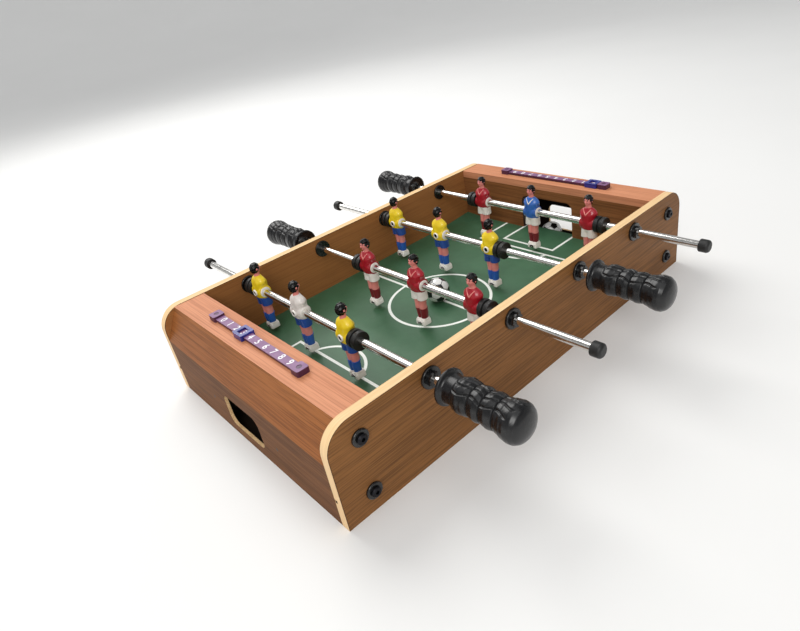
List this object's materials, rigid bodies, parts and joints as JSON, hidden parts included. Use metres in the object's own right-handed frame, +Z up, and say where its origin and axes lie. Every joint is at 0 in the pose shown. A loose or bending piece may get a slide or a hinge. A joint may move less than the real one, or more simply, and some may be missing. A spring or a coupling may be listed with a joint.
{
  "type": "tabletop football game",
  "caption": "Tabletop football game: wooden cabinet with goal boxes, sliding and spinning rods with moulded players and grips, score rails, and balls.",
  "frame": {"origin": "centre of the base board's underside, where the cabinet stands", "axes": "+X along the pitch from the left goal to the right goal, +Y across it towards the rear, +Z up"},
  "size_m": [0.51, 0.5165, 0.1156],
  "materials": {
    "walnut_board": "satin",
    "brown_board": "satin",
    "slope_board": "satin",
    "pale_board": "satin",
    "pitch_green": "painted, satin",
    "hardboard": "matte",
    "black_plastic": "satin",
    "black_steel": "satin",
    "zinc_steel": "satin",
    "purple_plastic": "satin",
    "blue_plastic": "satin",
    "ball_plastic": "gloss",
    "chrome_tube": "polished",
    "black_rubber": "matte",
    "grip_plastic": "gloss",
    "player_yellow": "gloss",
    "player_white": "gloss",
    "player_red": "gloss",
    "player_blue": "gloss"
  },
  "bodies": {
    "cabinet": {"side_panel_front": "walnut_board", "side_panel_rear": "walnut_board", "end_board_left": "brown_board", "end_board_right": "brown_board", "slope_board_left": "slope_board", "slope_board_right": "slope_board", "top_board_left": "pale_board", "top_board_right": "pale_board", "goal_wall_left": "brown_board", "goal_wall_right": "brown_board", "box_cheeks": "brown_board", "box_partitions": "brown_board", "pitch_board": "pitch_green", "base_board": "hardboard", "corner_ramps": "pitch_green", "rod_bushes": "black_plastic", "bush_rings": "black_plastic", "cabinet_bolts": "black_steel", "bolt_washers": "black_plastic", "tee_nuts": "zinc_steel", "end_nails": "zinc_steel", "score_rail_left": "purple_plastic", "score_rail_right": "purple_plastic", "score_rail_screws": "zinc_steel"},
    "score_slider_left": {"score_slider_left": "blue_plastic"},
    "score_slider_right": {"score_slider_right": "blue_plastic"},
    "ball_pitch": {"ball_pitch": "ball_plastic"},
    "ball_goal": {"ball_goal": "ball_plastic"},
    "bumpers_left_yellow": {"rod_bumpers_left_yellow": "black_rubber"},
    "rod_left_yellow": {"rod_tube_left_yellow": "chrome_tube", "rod_cap_left_yellow": "black_rubber", "handle_left_yellow": "grip_plastic", "player_screws_left_yellow": "zinc_steel", "player_left_yellow_front": "player_yellow", "player_left_yellow_middle": "player_white", "player_left_yellow_rear": "player_yellow"},
    "bumpers_left_red": {"rod_bumpers_left_red": "black_rubber"},
    "rod_left_red": {"rod_tube_left_red": "chrome_tube", "rod_cap_left_red": "black_rubber", "handle_left_red": "grip_plastic", "player_screws_left_red": "zinc_steel", "player_left_red_front": "player_red", "player_left_red_middle": "player_red", "player_left_red_rear": "player_red"},
    "bumpers_right_yellow": {"rod_bumpers_right_yellow": "black_rubber"},
    "rod_right_yellow": {"rod_tube_right_yellow": "chrome_tube", "rod_cap_right_yellow": "black_rubber", "handle_right_yellow": "grip_plastic", "player_screws_right_yellow": "zinc_steel", "player_right_yellow_front": "player_yellow", "player_right_yellow_middle": "player_yellow", "player_right_yellow_rear": "player_yellow"},
    "bumpers_right_red": {"rod_bumpers_right_red": "black_rubber"},
    "rod_right_red": {"rod_tube_right_red": "chrome_tube", "rod_cap_right_red": "black_rubber", "handle_right_red": "grip_plastic", "player_screws_right_red": "zinc_steel", "player_right_red_front": "player_red", "player_right_red_middle": "player_blue", "player_right_red_rear": "player_red"}
  },
  "joints": [
    {"name": "left_yellow_slide", "type": "slide", "parent": "cabinet", "child": "bumpers_left_yellow", "axis": [0, 1, 0], "range_m": [-0.0767, 0.0037]},
    {"name": "left_yellow_spin", "type": "hinge", "parent": "bumpers_left_yellow", "child": "rod_left_yellow", "pos_m": [-0.1524, 0.0365, 0.082], "axis": [0, 1, 0], "continuous": true},
    {"name": "left_red_slide", "type": "slide", "parent": "cabinet", "child": "bumpers_left_red", "axis": [0, 1, 0], "range_m": [-0.0112, 0.0692]},
    {"name": "left_red_spin", "type": "hinge", "parent": "bumpers_left_red", "child": "rod_left_red", "pos_m": [-0.0508, -0.029, 0.082], "axis": [0, 1, 0], "continuous": true},
    {"name": "right_yellow_slide", "type": "slide", "parent": "cabinet", "child": "bumpers_right_yellow", "axis": [0, 1, 0], "range_m": [-0.0792, 0.0012]},
    {"name": "right_yellow_spin", "type": "hinge", "parent": "bumpers_right_yellow", "child": "rod_right_yellow", "pos_m": [0.0508, 0.039, 0.082], "axis": [0, 1, 0], "continuous": true},
    {"name": "right_red_slide", "type": "slide", "parent": "cabinet", "child": "bumpers_right_red", "axis": [0, 1, 0], "range_m": [-0.0212, 0.0592]},
    {"name": "right_red_spin", "type": "hinge", "parent": "bumpers_right_red", "child": "rod_right_red", "pos_m": [0.1524, -0.019, 0.082], "axis": [0, 1, 0], "continuous": true},
    {"name": "left_score", "type": "slide", "parent": "cabinet", "child": "score_slider_left", "axis": [0, -1, 0], "range_m": [-0.0399, 0.0798]},
    {"name": "right_score", "type": "slide", "parent": "cabinet", "child": "score_slider_right", "axis": [0, 1, 0], "range_m": [0, 0.1197]},
    {"name": "pitch_ball_roll", "type": "slide", "parent": "cabinet", "child": "ball_pitch", "axis": [0, 1, 0], "range_m": [-0.12, 0.12]},
    {"name": "goal_ball_roll", "type": "slide", "parent": "cabinet", "child": "ball_goal", "axis": [0, 1, 0], "range_m": [-0.052, 0.027]}
  ]
}
